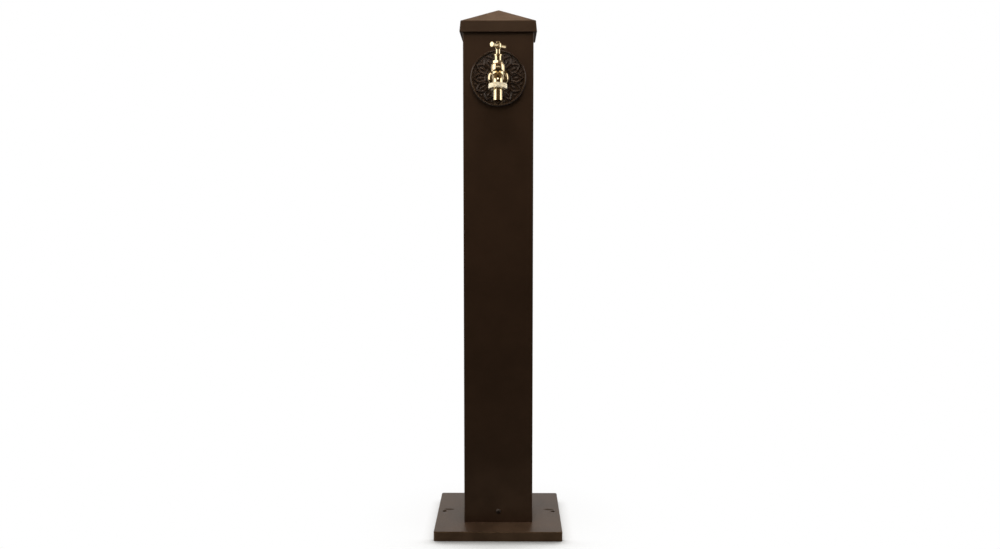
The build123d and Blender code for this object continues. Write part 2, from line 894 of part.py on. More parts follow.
# Water supply inside the post
def elbow_plate():
    """Flat plate with rounded ends that bears on the inside of the post's front wall."""
    outline = RectangleRounded(elbow_plate_length, elbow_plate_width, elbow_plate_corner_radius)
    plate = extrude(outline, -elbow_plate_thickness)
    tapped = elbow_screw_diameter + 2 * thread_clearance
    for side in (-1, 1):
        plate -= Pos(side * elbow_screw_spacing / 2, 0, 0) * disc(tapped, -elbow_plate_thickness, 0)
    return Pos(0, 0, -post_wall) * plate


def wall_elbow():
    depth = post_wall + pipe_inset
    thread_low = -elbow_leg_length + compression_thread_length
    body = front * (elbow_plate() + disc(elbow_boss_diameter, -depth, elbow_boss_front))
    leg = disc(elbow_leg_diameter, thread_low, 0) + Sphere(elbow_leg_diameter / 2)
    leg += disc(compression_thread_diameter, -elbow_leg_length, thread_low)
    body += Pos(0, pipe_y, tap_height) * leg
    thread = shank_diameter + 2 * thread_clearance
    body -= front * disc(thread, elbow_boss_front - elbow_thread_depth, elbow_boss_front)
    body -= front * disc(elbow_bore, -depth, elbow_boss_front)
    down = disc(elbow_bore, -elbow_leg_length, 0)
    down += disc(pipe_diameter + 2 * fit_gap, -elbow_leg_length, -elbow_leg_length + pipe_socket_depth)
    return body - Pos(0, pipe_y, tap_height) * down


def elbow_screws():
    reach = post_wall + elbow_plate_thickness
    screw = slotted_screw(
        elbow_screw_diameter, reach, elbow_screw_head_diameter, elbow_screw_head_height
    )
    return both_sides(lambda side: front * Pos(side * elbow_screw_spacing / 2, 0, 0) * screw)


def riser_pipe():
    low = coupling_top - pipe_socket_depth + fit_gap
    high = elbow_bottom + pipe_socket_depth - fit_gap
    return Pos(0, pipe_y, 0) * ring(pipe_diameter, pipe_diameter - 2 * pipe_wall, low, high)


def pipe_nut():
    """Compression nut, its open end at height 0 and its lip at the top."""
    nut = chamfered_hexagon(pipe_nut_size, 0, pipe_nut_height)
    nut -= disc(pipe_diameter + 2 * fit_gap, 0, pipe_nut_height)
    seat = compression_thread_diameter + 2 * thread_clearance
    return nut - disc(seat, 0, pipe_nut_height - pipe_nut_lip)


def pipe_nuts():
    lower = Pos(0, pipe_y, coupling_top - pipe_nut_overlap) * pipe_nut()
    upper = Pos(0, pipe_y, elbow_bottom + pipe_nut_overlap) * Rot(180, 0, 0) * pipe_nut()
    return [lower, upper]


def olive(low):
    """Brass ring with bevelled ends that the nut squeezes on the pipe."""
    inner = pipe_diameter / 2 + running_clearance
    outer = olive_diameter / 2
    high = low + olive_height
    return turned(
        [
            (inner, low),
            (outer - olive_bevel, low),
            (outer, low + olive_bevel),
            (outer, high - olive_bevel),
            (outer - olive_bevel, high),
            (inner, high),
        ]
    )


def olives():
    lower = coupling_top + fit_gap
    upper = elbow_bottom - fit_gap - olive_height
    return [Pos(0, pipe_y, 0) * olive(low) for low in (lower, upper)]


def inlet_coupling():
    solid = chamfered_hexagon(coupling_hex, coupling_bottom, coupling_hex_top)
    solid += disc(coupling_collar_diameter, coupling_hex_top, coupling_collar_top)
    solid += disc(compression_thread_diameter, coupling_collar_top, coupling_top)
    solid -= disc(coupling_thread_bore, coupling_bottom, coupling_bottom + coupling_thread_depth)
    solid -= disc(elbow_bore, coupling_bottom, coupling_top)
    solid -= disc(pipe_diameter + 2 * fit_gap, coupling_top - pipe_socket_depth, coupling_top)
    return Pos(0, pipe_y, 0) * solid


def pipe_clip():
    """Strap bent round the pipe, with two feet on the inside of the socket's front wall."""
    inner = pipe_diameter / 2 + fit_gap
    outer = inner + clip_thickness
    wall = -opening_side / 2
    run = pipe_y - wall
    middle = wall + run / 2
    outline = Pos(0, pipe_y) * Circle(outer) + Pos(0, middle) * Rectangle(2 * outer, run)
    outline -= Pos(0, pipe_y) * Circle(inner) + Pos(0, middle) * Rectangle(2 * inner, run)
    foot_middle = outer + clip_foot_length / 2 - clip_thickness / 2
    for side in (-1, 1):
        foot = Rectangle(clip_foot_length + clip_thickness, clip_thickness)
        outline += Pos(side * foot_middle, wall + clip_thickness / 2) * foot
    clip = Pos(0, 0, clip_middle - clip_height / 2) * extrude(outline, clip_height)
    hole = clip_screw_diameter + 2 * screw_hole_clearance
    for side in (-1, 1):
        clip -= along_y(hole, side * clip_screw_offset, clip_middle, wall, wall + clip_thickness)
    return clip


def clip_screws():
    screw = slotted_screw(
        clip_screw_diameter, clip_screw_length, clip_screw_head_diameter, clip_screw_head_height
    )
    place = Pos(0, clip_thickness - opening_side / 2, clip_middle) * Rot(-90, 0, 0)
    return both_sides(lambda side: Pos(side * clip_screw_offset, 0, 0) * place * screw)


nodes = {
    "base_plate": base_plate,
    "post_socket": post_socket,
    "post_tube": post_tube,
    "post_screws": post_screws,
    "top_cap": top_cap,
    "rosette": rosette,
    "wall_flange": wall_flange,
    "tap_body": tap_body,
    "bonnet_seal": bonnet_seal,
    "bonnet": bonnet,
    "gland_packing": gland_packing,
    "gland_nut": gland_nut,
    "jumper": jumper,
    "jumper_washer": jumper_washer,
    "jumper_nut": jumper_nut,
    "spindle": spindle,
    "tee_handle": tee_handle,
    "handle_screw": handle_screw,
    "hose_nut": hose_nut,
    "hose_washer": hose_washer,
    "hose_tail": hose_tail,
    "wall_elbow": wall_elbow,
    "elbow_screws": elbow_screws,
    "riser_pipe": riser_pipe,
    "pipe_nuts": pipe_nuts,
    "olives": olives,
    "inlet_coupling": inlet_coupling,
    "pipe_clip": pipe_clip,
    "clip_screws": clip_screws,
}

for node, make in nodes.items():
    made = make()
    shape = Compound(children=made) if isinstance(made, list) else made
    export_step(shape, f"parts/{node}.step")
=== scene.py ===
# %% [markdown]
# # A garden water post
# This lesson dresses a finished model of a garden water post: a square brown post
# on a flat foot, with a cast ornamental disc and a polished brass bib tap. The
# solids are already right, so most of the work is in surfaces: a satin powder coat,
# bright brass that shows the studio around it, and the relief of the disc.

# %% Load the frame
import json
import math

import bmesh
import bpy
from mathutils import Matrix, Vector


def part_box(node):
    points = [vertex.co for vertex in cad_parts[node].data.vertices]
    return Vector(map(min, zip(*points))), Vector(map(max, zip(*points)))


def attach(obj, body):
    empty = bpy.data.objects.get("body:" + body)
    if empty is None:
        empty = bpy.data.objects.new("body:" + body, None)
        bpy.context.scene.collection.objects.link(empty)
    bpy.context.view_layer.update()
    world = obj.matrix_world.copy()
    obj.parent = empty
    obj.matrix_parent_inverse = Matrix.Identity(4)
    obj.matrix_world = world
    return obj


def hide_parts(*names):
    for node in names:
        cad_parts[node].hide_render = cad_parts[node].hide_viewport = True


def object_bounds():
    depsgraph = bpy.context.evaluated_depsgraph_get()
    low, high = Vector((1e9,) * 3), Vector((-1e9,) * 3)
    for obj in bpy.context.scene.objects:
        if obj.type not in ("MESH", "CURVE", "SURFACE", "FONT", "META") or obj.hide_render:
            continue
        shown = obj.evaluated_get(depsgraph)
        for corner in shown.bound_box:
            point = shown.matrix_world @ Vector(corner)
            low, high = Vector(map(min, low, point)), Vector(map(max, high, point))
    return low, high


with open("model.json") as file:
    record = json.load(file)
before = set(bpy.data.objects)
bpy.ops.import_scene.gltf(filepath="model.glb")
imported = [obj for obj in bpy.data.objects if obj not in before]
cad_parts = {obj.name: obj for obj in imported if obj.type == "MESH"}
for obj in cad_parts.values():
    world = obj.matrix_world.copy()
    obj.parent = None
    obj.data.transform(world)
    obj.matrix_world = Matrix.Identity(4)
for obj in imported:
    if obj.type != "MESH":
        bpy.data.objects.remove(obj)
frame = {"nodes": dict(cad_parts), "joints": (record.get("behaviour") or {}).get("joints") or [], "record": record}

MM = 0.001
scene = bpy.context.scene
scene.view_settings.view_transform = "Standard"
nodes = frame["nodes"]
cad_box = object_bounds()
print("size in mm:", [round((high - low) / MM, 1) for low, high in zip(*cad_box)])

# %% [markdown]
# ## Camera
# The photograph was taken from about two metres away, at two thirds of the post's
# height and tilted a little down, so the foot's top shows and the cap is seen
# slightly from below. The lens follows from the width of the field of view. Placing
# the camera first means that every later choice can be judged in the final picture.

# %% Camera
tilt_down = math.radians(5.07)
turn_left = math.radians(0.556)
camera_data = bpy.data.cameras.new("camera")
camera_data.sensor_width = 36.0
camera_data.lens = 36.155
camera_data.clip_end = 50.0
camera = bpy.data.objects.new("camera", camera_data)
camera.location = (0.0214, -1.9378, 0.660)
camera.rotation_euler = (math.pi / 2 - tilt_down, 0, turn_left)
scene.collection.objects.link(camera)
scene.camera = camera
print("camera at", [round(c, 3) for c in camera.location])

# %% [markdown]
# ## Studio
# A product shot like this one stands on a white sweep between two large soft
# boxes. Brass mirrors its surroundings, so the studio is part of its look: the
# bright bands down both sides of each brass cylinder are the two soft boxes, and the
# brown band between them is the unlit side of the room where the photographer
# stands. The world shader gives that room by direction: white sweep behind, dim
# ceiling, dark in front. A World shader is used because a built room would cost
# geometry and show up in other views.

# %% World
world = bpy.data.worlds.new("studio")
world.use_nodes = True
scene.world = world
room = world.node_tree
room.nodes.clear()


def link(tree, start, end):
    """Joins an output to an input of a node tree."""
    tree.links.new(start, end)


def add_node(tree, kind, **settings):
    """Adds a node; names of inputs use underscores for spaces, others are properties."""
    node = tree.nodes.new(kind)
    for name, value in settings.items():
        if hasattr(node, name):
            setattr(node, name, value)
        else:
            node.inputs[name.replace("_", " ")].default_value = value
    return node


def math_node(tree, operation, first, second=0.5, third=None):
    """A Math node whose inputs are numbers or sockets."""
    node = tree.nodes.new("ShaderNodeMath")
    node.operation = operation
    for socket, value in zip(node.inputs, (first, second, third)):
        if value is None:
            continue
        if hasattr(value, "is_linked"):
            tree.links.new(value, socket)
        else:
            socket.default_value = value
    return node.outputs[0]


def ramp(tree, value, low, high, to_low=0.0, to_high=1.0):
    """A smooth Map Range of a value between two ends."""
    node = tree.nodes.new("ShaderNodeMapRange")
    node.interpolation_type = "SMOOTHSTEP"
    tree.links.new(value, node.inputs["Value"])
    for name, number in zip(("From Min", "From Max", "To Min", "To Max"), (low, high, to_low, to_high)):
        node.inputs[name].default_value = number
    return node.outputs["Result"]


def mix_colours(tree, mask, first, second):
    """Goes from the first colour to the second as the mask rises; colours may be sockets."""
    node = tree.nodes.new("ShaderNodeMix")
    node.data_type = "RGBA"
    link(tree, mask, node.inputs[0])
    for socket, colour in ((node.inputs[6], first), (node.inputs[7], second)):
        if hasattr(colour, "is_linked"):
            link(tree, colour, socket)
        else:
            socket.default_value = (*colour, 1)
    return node.outputs[2]


direction = add_node(room, "ShaderNodeTexCoord")
parts = add_node(room, "ShaderNodeSeparateXYZ")
link(room, direction.outputs["Generated"], parts.inputs[0])
x, y, z = (parts.outputs[axis] for axis in "XYZ")
squares = math_node(room, "ADD", math_node(room, "MULTIPLY", x, x), math_node(room, "MULTIPLY", y, y))
flat = math_node(room, "MAXIMUM", math_node(room, "SQRT", squares), 0.001)
# The bright sweep stands behind, the ceiling is dim, and in front is the warm, unlit side.
unlit_turn = math.radians(9)
unlit_loss = 0.78
sweep_level = 0.7
behind = math_node(room, "MULTIPLY", ramp(room, y, 0.40, 0.75), ramp(room, z, 0.62, 0.3))
turned_x = math_node(room, "MULTIPLY", x, math.sin(unlit_turn))
turned_y = math_node(room, "MULTIPLY", y, -math.cos(unlit_turn))
ahead = math_node(room, "DIVIDE", math_node(room, "ADD", turned_x, turned_y), flat)
unlit = ramp(room, ahead, 0.57, 0.73)
side_level = ramp(room, z, 0.8, 0.2, 0.12, 0.26)
room_level = math_node(room, "ADD", side_level, math_node(room, "MULTIPLY", behind, sweep_level))
kept = math_node(room, "SUBTRACT", 1.0, math_node(room, "MULTIPLY", unlit, unlit_loss))
room_level = math_node(room, "MULTIPLY", room_level, kept)
warm = math_node(room, "MAXIMUM", unlit, ramp(room, z, 0.3, 0.6))
room_colour = mix_colours(room, warm, (1.0, 0.985, 0.96), (1.0, 0.68, 0.36))

rays = add_node(room, "ShaderNodeLightPath")
mirrored_behind = math_node(room, "MULTIPLY", rays.outputs["Is Glossy Ray"], behind)
shown = math_node(room, "MAXIMUM", rays.outputs["Is Camera Ray"], rays.outputs["Is Transmission Ray"])
shown = math_node(room, "MAXIMUM", shown, mirrored_behind)
room_light = add_node(room, "ShaderNodeBackground")
link(room, room_colour, room_light.inputs["Color"])
link(room, room_level, room_light.inputs["Strength"])
white_sweep = add_node(room, "ShaderNodeBackground", Color=(1, 1, 1, 1), Strength=1.0)
with_sweep = add_node(room, "ShaderNodeMixShader")
link(room, shown, with_sweep.inputs[0])
link(room, room_light.outputs[0], with_sweep.inputs[1])
link(room, white_sweep.outputs[0], with_sweep.inputs[2])
output = add_node(room, "ShaderNodeOutputWorld")
link(room, with_sweep.outputs[0], output.inputs["Surface"])
print("world nodes:", len(room.nodes))

# %% [markdown]
# ## Lamps
# The two soft boxes stand low and wide at both sides, so that they show in upright
# brass as broad bands but stay out of the curve of the spout. A small box and a thin
# strip over the camera put the short highlights on what looks forward. Two fill
# lamps light the brown coat from above and ahead. They are hidden from mirrors,
# because a real fill is a broad faint glow and would not draw a second set of
# bright bands in the brass.


# %% Soft boxes
def soft_box(name, place, target, width, height, power, mirrored=True):
    """A rectangular area lamp that faces a point."""
    lamp = bpy.data.lights.new(name, "AREA")
    lamp.shape = "RECTANGLE"
    lamp.size = width
    lamp.size_y = height
    lamp.energy = power
    lamp.color = (1.0, 0.985, 0.955)
    holder = bpy.data.objects.new(name, lamp)
    holder.location = place
    holder.rotation_euler = (Vector(target) - Vector(place)).to_track_quat("-Z", "Y").to_euler()
    holder.visible_glossy = mirrored
    scene.collection.objects.link(holder)
    return holder


tap_place = (0, -0.1, 0.82)
soft_box("soft_box_left", (-2.03, -0.91, 1.4), tap_place, 2.3, 1.45, 19.5)
soft_box("soft_box_right", (2.18, -0.34, 1.4), tap_place, 1.6, 1.45, 12.8)
soft_box("soft_box_over_camera", (0, -1.45, 2.0), tap_place, 1.0, 0.35, 3)
soft_box("strip_over_lens", (0, -1.85, 1.26), tap_place, 2.8, 0.09, 1.0)
soft_box("fill_above", (0, -0.2, 2.3), (0, -0.05, 0.6), 2.0, 1.4, 23.5, mirrored=False)
soft_box("fill_in_front", (0, -0.75, 1.65), tap_place, 0.8, 0.5, 11.5, mirrored=False)
print("lamps:", [lamp.name for lamp in bpy.data.lights])

# %% [markdown]
# ## Floor
# The sweep is so bright in the photograph that only the soft shadow round the foot
# shows. The floor's material is therefore mostly its own white to the camera, with
# a share of ordinary diffuse white that still takes the shadow. Where the foot stands
# on it, two Ambient Occlusion nodes deepen the contact: a short one all round, and
# a long one in front, where no lamp reaches under the foot's edge.

# %% Floor
floor_mesh = bpy.data.meshes.new("floor")
half = 14.0
corners = [(-half, -half, 0), (half, -half, 0), (half, half, 0), (-half, half, 0)]
floor_mesh.from_pydata(corners, [], [(0, 1, 2, 3)])
floor = bpy.data.objects.new("floor", floor_mesh)
floor.location.z = cad_box[0].z
scene.collection.objects.link(floor)
sweep = bpy.data.materials.new("white_sweep")
sweep.use_nodes = True
tree = sweep.node_tree
tree.nodes.clear()
rays = add_node(tree, "ShaderNodeLightPath")
seen = math_node(tree, "MAXIMUM", rays.outputs["Is Camera Ray"], rays.outputs["Is Transmission Ray"])
place = add_node(tree, "ShaderNodeTexCoord")
parts = add_node(tree, "ShaderNodeSeparateXYZ")
link(tree, place.outputs["Object"], parts.inputs[0])
lit = ramp(tree, parts.outputs["Y"], -0.44, -0.18)
mirrored_lit = ramp(tree, parts.outputs["Y"], -0.18, -0.06)

# To the camera all of it is white; as a source of light it ends in the unlit side of the room.
by_ray = add_node(tree, "ShaderNodeMix")
link(tree, rays.outputs["Is Glossy Ray"], by_ray.inputs[0])
link(tree, lit, by_ray.inputs[2])
link(tree, mirrored_lit, by_ray.inputs[3])
white = math_node(tree, "MAXIMUM", seen, by_ray.outputs[0])

# The contact shade is deeper in front of the foot than beside it.
front_depth = 4.4
open_sky = add_node(tree, "ShaderNodeAmbientOcclusion", Distance=0.14, samples=16)
close_by = add_node(tree, "ShaderNodeAmbientOcclusion", Distance=0.025, samples=16)
in_front = ramp(tree, parts.outputs["Y"], -0.105, -0.135)
power = math_node(tree, "MULTIPLY", in_front, front_depth)
front_shade = math_node(tree, "POWER", open_sky.outputs["AO"], power)
contact = math_node(tree, "MULTIPLY", front_shade, close_by.outputs["AO"])
floor_white = mix_colours(tree, contact, (0.05, 0.045, 0.04), (0.86, 0.86, 0.855))
matt = add_node(tree, "ShaderNodeBsdfDiffuse")
link(tree, floor_white, matt.inputs["Color"])
shaded = add_node(tree, "ShaderNodeBsdfDiffuse", Color=(0.10, 0.098, 0.095, 1))
floor_tone = add_node(tree, "ShaderNodeMixShader")
link(tree, white, floor_tone.inputs[0])
link(tree, shaded.outputs[0], floor_tone.inputs[1])
link(tree, matt.outputs[0], floor_tone.inputs[2])

# Its own white, which fades under the foot
glow = add_node(tree, "ShaderNodeEmission", Color=(1, 1, 1, 1), Strength=1.0)
away = add_node(tree, "ShaderNodeVectorMath", operation="LENGTH")
link(tree, place.outputs["Object"], away.inputs[0])
own_white = ramp(tree, away.outputs["Value"], 0.1, 0.3, 0.88, 1.0)
own_white = math_node(tree, "MULTIPLY", own_white, contact)
glossy_white = math_node(tree, "MULTIPLY", rays.outputs["Is Glossy Ray"], mirrored_lit)
own_white = math_node(tree, "MULTIPLY", own_white, math_node(tree, "MAXIMUM", seen, glossy_white))
mixed = add_node(tree, "ShaderNodeMixShader")
link(tree, own_white, mixed.inputs[0])
link(tree, floor_tone.outputs[0], mixed.inputs[1])
link(tree, glow.outputs[0], mixed.inputs[2])
surface = add_node(tree, "ShaderNodeOutputMaterial")
link(tree, mixed.outputs[0], surface.inputs["Surface"])
floor_mesh.materials.append(sweep)
print("floor at z", round(floor.location.z, 4))

# %% [markdown]
# ## Shared effects
# Several finishes need the same three things: a fine uneven surface, edges where
# the finish has rubbed thin, and dust that settles on faces that look up. Each is
# a node group with named inputs, made once here and placed in each material with
# that material's own values.


# %% Node group helpers
def new_group(name, inputs, outputs):
    """An empty shader node group with its sockets and its end nodes."""
    group = bpy.data.node_groups.new(name, "ShaderNodeTree")
    for socket, default in inputs.items():
        made = group.interface.new_socket(socket, in_out="INPUT", socket_type="NodeSocketFloat")
        made.default_value = default
    for socket, kind in outputs.items():
        group.interface.new_socket(socket, in_out="OUTPUT", socket_type=kind)
    return group, group.nodes.new("NodeGroupInput"), group.nodes.new("NodeGroupOutput")


def place_group(tree, group, **values):
    """Puts a node group into a tree with some of its inputs set."""
    node = tree.nodes.new("ShaderNodeGroup")
    node.node_tree = group
    for name, value in values.items():
        node.inputs[name.replace("_", " ")].default_value = value
    return node


VALUE, VECTOR = "NodeSocketFloat", "NodeSocketVector"

# %% Grain: slow mottling and a fine bump
grain, start, end = new_group(
    "grain",
    {"Mottle scale": 20.0, "Fine scale": 900.0, "Depth": 0.1},
    {"Mottle": VALUE, "Fine": VALUE, "Normal": VECTOR},
)
place = add_node(grain, "ShaderNodeTexCoord")
slow = add_node(grain, "ShaderNodeTexNoise", Detail=4.0, Roughness=0.6)
fine = add_node(grain, "ShaderNodeTexNoise", Detail=2.0, Roughness=0.5)
bump = add_node(grain, "ShaderNodeBump", Distance=0.0002)
link(grain, place.outputs["Object"], slow.inputs["Vector"])
link(grain, place.outputs["Object"], fine.inputs["Vector"])
link(grain, start.outputs["Mottle scale"], slow.inputs["Scale"])
link(grain, start.outputs["Fine scale"], fine.inputs["Scale"])
link(grain, start.outputs["Depth"], bump.inputs["Strength"])
link(grain, fine.outputs["Fac"], bump.inputs["Height"])
link(grain, slow.outputs["Fac"], end.inputs["Mottle"])
link(grain, fine.outputs["Fac"], end.inputs["Fine"])
link(grain, bump.outputs["Normal"], end.inputs["Normal"])

# %% Edge wear: where a rounded normal differs from the true one
edge_wear, start, end = new_group(
    "edge_wear", {"Radius": 0.001, "Reach": 0.2}, {"Mask": VALUE}
)
rounded = add_node(edge_wear, "ShaderNodeBevel", samples=4)
link(edge_wear, start.outputs["Radius"], rounded.inputs["Radius"])
true_normal = add_node(edge_wear, "ShaderNodeNewGeometry")
alike = add_node(edge_wear, "ShaderNodeVectorMath", operation="DOT_PRODUCT")
link(edge_wear, rounded.outputs["Normal"], alike.inputs[0])
link(edge_wear, true_normal.outputs["Normal"], alike.inputs[1])
turned_away = math_node(edge_wear, "SUBTRACT", 1.0, alike.outputs["Value"])
sharp = math_node(edge_wear, "DIVIDE", turned_away, start.outputs["Reach"])
place = add_node(edge_wear, "ShaderNodeTexCoord")
patchy = add_node(edge_wear, "ShaderNodeTexNoise", Scale=140.0, Detail=3.0)
link(edge_wear, place.outputs["Object"], patchy.inputs["Vector"])
broken = ramp(edge_wear, patchy.outputs["Fac"], 0.38, 0.62, 0.35, 1.0)
rubbed = math_node(edge_wear, "MULTIPLY", math_node(edge_wear, "MINIMUM", sharp, 1.0), broken)
link(edge_wear, rubbed, end.inputs["Mask"])

# %% Settled dust in drifts on faces that look up, and soil splash with painted bounce light on upright faces near the ground
dust_and_painted_bounce, start, end = new_group(
    "dust_and_painted_bounce", {"Amount": 0.3, "Scale": 18.0, "Splash": 0.0}, {"Mask": VALUE}
)
facing = add_node(dust_and_painted_bounce, "ShaderNodeNewGeometry")
apart = add_node(dust_and_painted_bounce, "ShaderNodeSeparateXYZ")
link(dust_and_painted_bounce, facing.outputs["Normal"], apart.inputs[0])
upward = ramp(dust_and_painted_bounce, apart.outputs["Z"], 0.25, 0.95)
place = add_node(dust_and_painted_bounce, "ShaderNodeTexCoord")
drifts = add_node(dust_and_painted_bounce, "ShaderNodeTexNoise", Detail=6.0, Roughness=0.62)
link(dust_and_painted_bounce, place.outputs["Object"], drifts.inputs["Vector"])
link(dust_and_painted_bounce, start.outputs["Scale"], drifts.inputs["Scale"])
drift = ramp(dust_and_painted_bounce, drifts.outputs["Fac"], 0.32, 0.68, 0.35, 1.0)
mask = math_node(dust_and_painted_bounce, "MULTIPLY", upward, drift)
mask = math_node(dust_and_painted_bounce, "MULTIPLY", mask, start.outputs["Amount"])
apart = add_node(dust_and_painted_bounce, "ShaderNodeSeparateXYZ")
link(dust_and_painted_bounce, place.outputs["Object"], apart.inputs[0])
# Upright faces near the ground take the dust colour as soil splash and as painted bounce light from the floor.
low_down = ramp(dust_and_painted_bounce, apart.outputs["Z"], 0.16, 0.05)
near_ground = math_node(dust_and_painted_bounce, "MULTIPLY", low_down, drift)
upright = math_node(dust_and_painted_bounce, "SUBTRACT", 1.0, upward)
splashed = math_node(dust_and_painted_bounce, "MULTIPLY", near_ground, upright)
splashed = math_node(dust_and_painted_bounce, "MULTIPLY", splashed, start.outputs["Splash"])
link(dust_and_painted_bounce, math_node(dust_and_painted_bounce, "ADD", mask, splashed), end.inputs["Mask"])
print("node groups:", [g.name for g in bpy.data.node_groups])


# %% Material helpers
def new_material(name, **values):
    """A material with its Principled BSDF and plain values on that shader's own sockets."""
    material = bpy.data.materials.new(name)
    material.use_nodes = True
    shader = material.node_tree.nodes["Principled BSDF"]
    for socket, value in values.items():
        shader.inputs[socket.replace("_", " ")].default_value = value
    return material, material.node_tree, shader

# %% [markdown]
# ## Brown powder coat
# The post, foot, cap and disc are steel and iron under one dark brown powder coat.
# Such a coat is satin, with a very fine orange-peel skin, and over castings it keeps
# some of the sand's unevenness below. It shows its colour only where it mirrors
# nothing: on the flat tops it picks up the pale room. A thin film of dust makes
# those faces a little lighter and duller. Faces that look down got only overspray,
# so they are left matt.


# %% Powder coat
dust_and_bounce_colour = (0.37, 0.24, 0.155)


def powder_coat(name, colour, fine_scale, depth, dust, roughness=(0.30, 0.40), **extra):
    """A brown coat; extra may set its gloss, the tint of its gloss, and soil splash with painted bounce light near
    the ground.
    """
    gloss = extra.get("gloss", 0.37)
    tint = extra.get("tint", (1.0, 0.76, 0.55))
    material, tree, shader = new_material(name, Specular_IOR_Level=gloss, Specular_Tint=(*tint, 1))
    skin = place_group(tree, grain, Mottle_scale=9.0, Fine_scale=fine_scale, Depth=depth)
    darker = tuple(c * 0.86 for c in colour)
    lighter = tuple(c * 1.12 for c in colour)
    base = mix_colours(tree, ramp(tree, skin.outputs["Mottle"], 0.3, 0.7), darker, lighter)
    worn = place_group(tree, edge_wear, Radius=0.0009, Reach=0.16)
    worn_share = math_node(tree, "MULTIPLY", worn.outputs["Mask"], 0.45)
    rubbed = tuple(c * 2.4 for c in colour)
    base = mix_colours(tree, worn_share, base, rubbed)
    # The mask holds dust on faces that look up, and soil splash with painted bounce light on upright faces near
    # the ground.
    dust_and_bounce = place_group(tree, dust_and_painted_bounce, Amount=dust, Splash=extra.get("splash", 0.0))
    base = mix_colours(tree, dust_and_bounce.outputs["Mask"], base, dust_and_bounce_colour)
    link(tree, base, shader.inputs["Base Color"])
    rough = ramp(tree, skin.outputs["Fine"], 0.3, 0.7, *roughness)
    rough = math_node(tree, "MULTIPLY_ADD", dust_and_bounce.outputs["Mask"], 0.3, rough)
    # Faces that look down
    facing = add_node(tree, "ShaderNodeNewGeometry")
    apart = add_node(tree, "ShaderNodeSeparateXYZ")
    link(tree, facing.outputs["Normal"], apart.inputs[0])
    overspray = ramp(tree, apart.outputs["Z"], -0.5, -0.9, 0.0, 0.6)
    rough = math_node(tree, "ADD", rough, overspray)
    link(tree, rough, shader.inputs["Roughness"])
    link(tree, skin.outputs["Normal"], shader.inputs["Normal"])
    return material


brown = (0.0240, 0.0126, 0.0070)
# The disc's brown is darker: painted shade for the shade in its relief.
brown_in_painted_shade = tuple(c * 0.75 for c in brown)
# The splash values lighten upright faces near the ground: soil splash and painted bounce light from the floor.
coat_on_tube = powder_coat("coat_on_tube", brown, 1500.0, 0.10, 0.10, splash=0.035)
coat_on_casting = powder_coat("coat_on_casting", brown, 700.0, 0.22, 0.18)
coat_on_foot = powder_coat(
    "coat_on_foot", brown, 700.0, 0.22, 0.095, (0.37, 0.45), gloss=0.55, tint=(1.0, 0.68, 0.4), splash=0.085
)
coat_on_disc = powder_coat(
    "coat_on_disc", brown_in_painted_shade, 900.0, 0.12, 0.10, (0.13, 0.20), gloss=1.0, tint=(1.0, 0.88, 0.80)
)
print("powder coats:", [m.name for m in bpy.data.materials if m.name.startswith("coat_on")])

# %% [markdown]
# ## Painted shade beside the anchor holes
# The foot has a dark, duller oval of painted shade beside each anchor hole.
# It is one soft oval with an uneven border, mirrored by
# taking the distance from the middle plane instead of x.


# %% Painted shade beside the anchor holes
def painted_shade_marks(material, middle, half_size, depth):
    """Paints shade: darkens and dulls the coat in an oval on each side; places and sizes are (x, y) in metres."""
    tree = material.node_tree
    shader = tree.nodes["Principled BSDF"]
    coat, rough = shader.inputs["Base Color"], shader.inputs["Roughness"]
    unshaded, unshaded_rough = coat.links[0].from_socket, rough.links[0].from_socket
    place = add_node(tree, "ShaderNodeTexCoord")
    parts = add_node(tree, "ShaderNodeSeparateXYZ")
    link(tree, place.outputs["Object"], parts.inputs[0])
    across = math_node(tree, "SUBTRACT", math_node(tree, "ABSOLUTE", parts.outputs["X"]), middle[0])
    along = math_node(tree, "SUBTRACT", parts.outputs["Y"], middle[1])
    squares = []
    for offset, half in ((across, half_size[0]), (along, half_size[1])):
        share = math_node(tree, "DIVIDE", offset, half)
        squares.append(math_node(tree, "MULTIPLY", share, share))
    uneven = add_node(tree, "ShaderNodeTexNoise", Scale=170.0, Detail=3.0)
    link(tree, place.outputs["Object"], uneven.inputs["Vector"])
    border = math_node(tree, "ADD", math_node(tree, "ADD", *squares), uneven.outputs["Fac"])
    mask = ramp(tree, border, 1.7, 0.8, 0.0, depth)
    # The dark colour is painted shade.
    painted_shade = tuple(c * 0.3 for c in brown)
    link(tree, mix_colours(tree, mask, unshaded, painted_shade), coat)
    link(tree, math_node(tree, "MULTIPLY_ADD", mask, 0.5, unshaded_rough), rough)


mark_middle = (0.099, 0.011)
mark_half_size = (0.011, 0.005)
painted_shade_marks(coat_on_foot, mark_middle, mark_half_size, 0.55)
print("damp marks at x and y:", mark_middle)


# %% [markdown]
# ## Brass
# Polished brass is a coloured mirror. Its base colour is what it does to white
# light, and the rest of its look is roughness: nearly none where it was buffed,
# a little more in the drifts where fingers and water have been. The knurled nut's brass is paler and a little less
# metallic: painted light, for the light that its fine ribs scatter. The machined pieces inside the post are the
# same metal, not polished.


# %% Brass
def brass(name, colour, roughness, tarnish, bump, metallic=1.0):
    """A metal that is darker and rougher in slow drifts; copper is made by it too."""
    material, tree, shader = new_material(name, Metallic=metallic)
    skin = place_group(tree, grain, Mottle_scale=60.0, Fine_scale=2600.0, Depth=bump)
    dulled = ramp(tree, skin.outputs["Mottle"], 0.42, 0.75)
    dulled = math_node(tree, "MULTIPLY", dulled, tarnish)
    base = mix_colours(tree, dulled, colour, tuple(c * 0.62 for c in colour))
    link(tree, base, shader.inputs["Base Color"])
    rough = ramp(tree, skin.outputs["Mottle"], 0.3, 0.75, roughness, roughness * 2.2)
    link(tree, rough, shader.inputs["Roughness"])
    link(tree, skin.outputs["Normal"], shader.inputs["Normal"])
    return material


